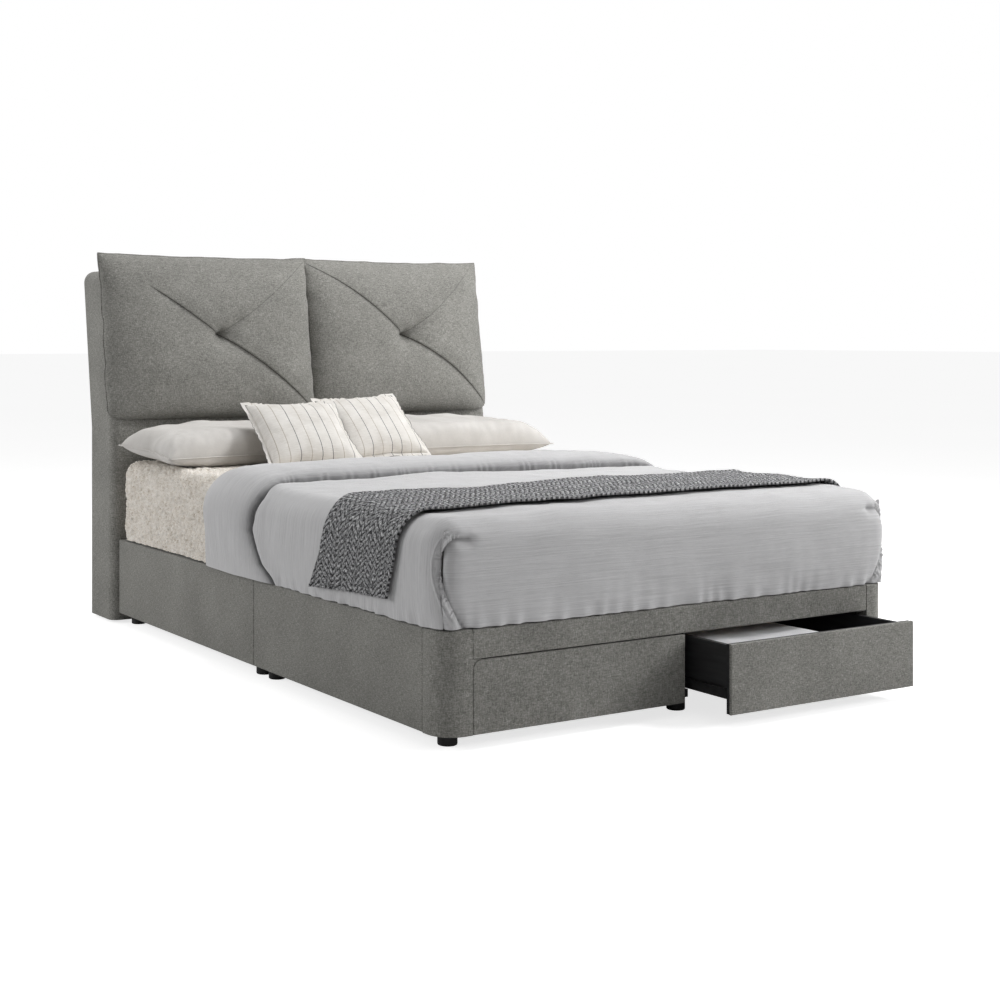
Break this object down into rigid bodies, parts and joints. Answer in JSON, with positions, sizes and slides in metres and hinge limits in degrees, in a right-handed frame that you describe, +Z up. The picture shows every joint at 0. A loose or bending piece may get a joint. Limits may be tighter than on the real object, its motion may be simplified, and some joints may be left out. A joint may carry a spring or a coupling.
{
  "type": "platform bed with storage drawers",
  "caption": "Upholstered queen platform bed with a cushioned raked headboard, foot-end storage drawers on roller runners, mattress and dressed bedding.",
  "frame": {"origin": "on the floor under the middle of the base in plan, halfway between the foot face and the headboard's front", "axes": "+X to the right seen from the foot, +Y towards the headboard, +Z up"},
  "size_m": [1.656, 2.613, 1.3536],
  "materials": {
    "upholstery": "matte",
    "pine": "matte",
    "plywood": "matte",
    "black_laminate": "satin",
    "black_plastic": "satin",
    "runner_steel": "satin",
    "nylon": "satin",
    "zinc_steel": "satin",
    "mattress_ticking": "matte",
    "cream_fleece": "matte",
    "grey_duvet": "matte",
    "charcoal_knit": "matte",
    "pale_pillow": "matte",
    "striped_cotton": "matte",
    "white_cotton": "matte"
  },
  "bodies": {
    "bed_frame": {"bay_panel_left": "black_laminate", "bay_panel_right": "black_laminate", "bolt_nuts": "zinc_steel", "box_joining_bolts": "zinc_steel", "cabinet_runners_left": "runner_steel", "cabinet_runners_right": "runner_steel", "centre_beam": "black_laminate", "corner_panel_left": "upholstery", "corner_panel_right": "upholstery", "cushion_back_board_left": "upholstery", "cushion_back_board_right": "upholstery", "cushion_button_left": "upholstery", "cushion_button_right": "upholstery", "drawer_divider": "black_laminate", "duvet": "grey_duvet", "feet": "black_plastic", "foot_blocks": "black_laminate", "foot_rail": "upholstery", "front_box_back_board": "black_laminate", "headboard_bolts": "zinc_steel", "headboard_cover": "upholstery", "headboard_cushion_left": "upholstery", "headboard_cushion_right": "upholstery", "headboard_ribs": "pine", "headboard_skin_board": "plywood", "mattress": "mattress_ticking", "mattress_protector": "cream_fleece", "pillow_left": "pale_pillow", "pillow_right": "pale_pillow", "rear_box_back_board": "black_laminate", "rear_box_front_board": "black_laminate", "side_panel_front_left": "upholstery", "side_panel_front_right": "upholstery", "side_panel_rear_left": "upholstery", "side_panel_rear_right": "upholstery", "slat_ledgers": "pine", "slats_front_box": "pine", "slats_rear_box": "pine", "striped_cushion_left": "striped_cotton", "striped_cushion_right": "striped_cotton", "throw_blanket": "charcoal_knit"},
    "drawer_left": {"drawer_front_cover_left": "upholstery", "drawer_front_board_left": "black_laminate", "drawer_inner_side_left": "black_laminate", "drawer_outer_side_left": "black_laminate", "drawer_back_left": "black_laminate", "drawer_bottom_left": "black_laminate", "drawer_runners_left": "runner_steel"},
    "front_roller_pair_left": {"front_rollers_left": "nylon"},
    "rear_roller_pair_left": {"rear_rollers_left": "nylon"},
    "drawer_right": {"drawer_front_cover_right": "upholstery", "drawer_front_board_right": "black_laminate", "drawer_inner_side_right": "black_laminate", "drawer_outer_side_right": "black_laminate", "drawer_back_right": "black_laminate", "drawer_bottom_right": "black_laminate", "drawer_runners_right": "runner_steel", "stored_pillow": "white_cotton"},
    "front_roller_pair_right": {"front_rollers_right": "nylon"},
    "rear_roller_pair_right": {"rear_rollers_right": "nylon"}
  },
  "joints": [
    {"name": "drawer_slide_left", "type": "slide", "parent": "bed_frame", "child": "drawer_left", "axis": [0, -1, 0], "range_m": [0, 0.44]},
    {"name": "front_roller_spin_left", "type": "hinge", "parent": "bed_frame", "child": "front_roller_pair_left", "pos_m": [0, -1.034, 0.08875], "axis": [1, 0, 0], "continuous": true},
    {"name": "rear_roller_spin_left", "type": "hinge", "parent": "drawer_left", "child": "rear_roller_pair_left", "pos_m": [0, -0.461, 0.07125], "axis": [1, 0, 0], "continuous": true},
    {"name": "drawer_slide_right", "type": "slide", "parent": "bed_frame", "child": "drawer_right", "axis": [0, -1, 0], "range_m": [-0.176, 0.264]},
    {"name": "front_roller_spin_right", "type": "hinge", "parent": "bed_frame", "child": "front_roller_pair_right", "pos_m": [0, -1.034, 0.08875], "axis": [1, 0, 0], "continuous": true},
    {"name": "rear_roller_spin_right", "type": "hinge", "parent": "drawer_right", "child": "rear_roller_pair_right", "pos_m": [0, -0.637, 0.07125], "axis": [1, 0, 0], "continuous": true}
  ],
  "couplings": [
    {"joint": "front_roller_spin_left", "follows": "drawer_slide_left", "rad_per_m": 100},
    {"joint": "rear_roller_spin_left", "follows": "drawer_slide_left", "rad_per_m": 100},
    {"joint": "front_roller_spin_right", "follows": "drawer_slide_right", "rad_per_m": 100},
    {"joint": "rear_roller_spin_right", "follows": "drawer_slide_right", "rad_per_m": 100}
  ]
}
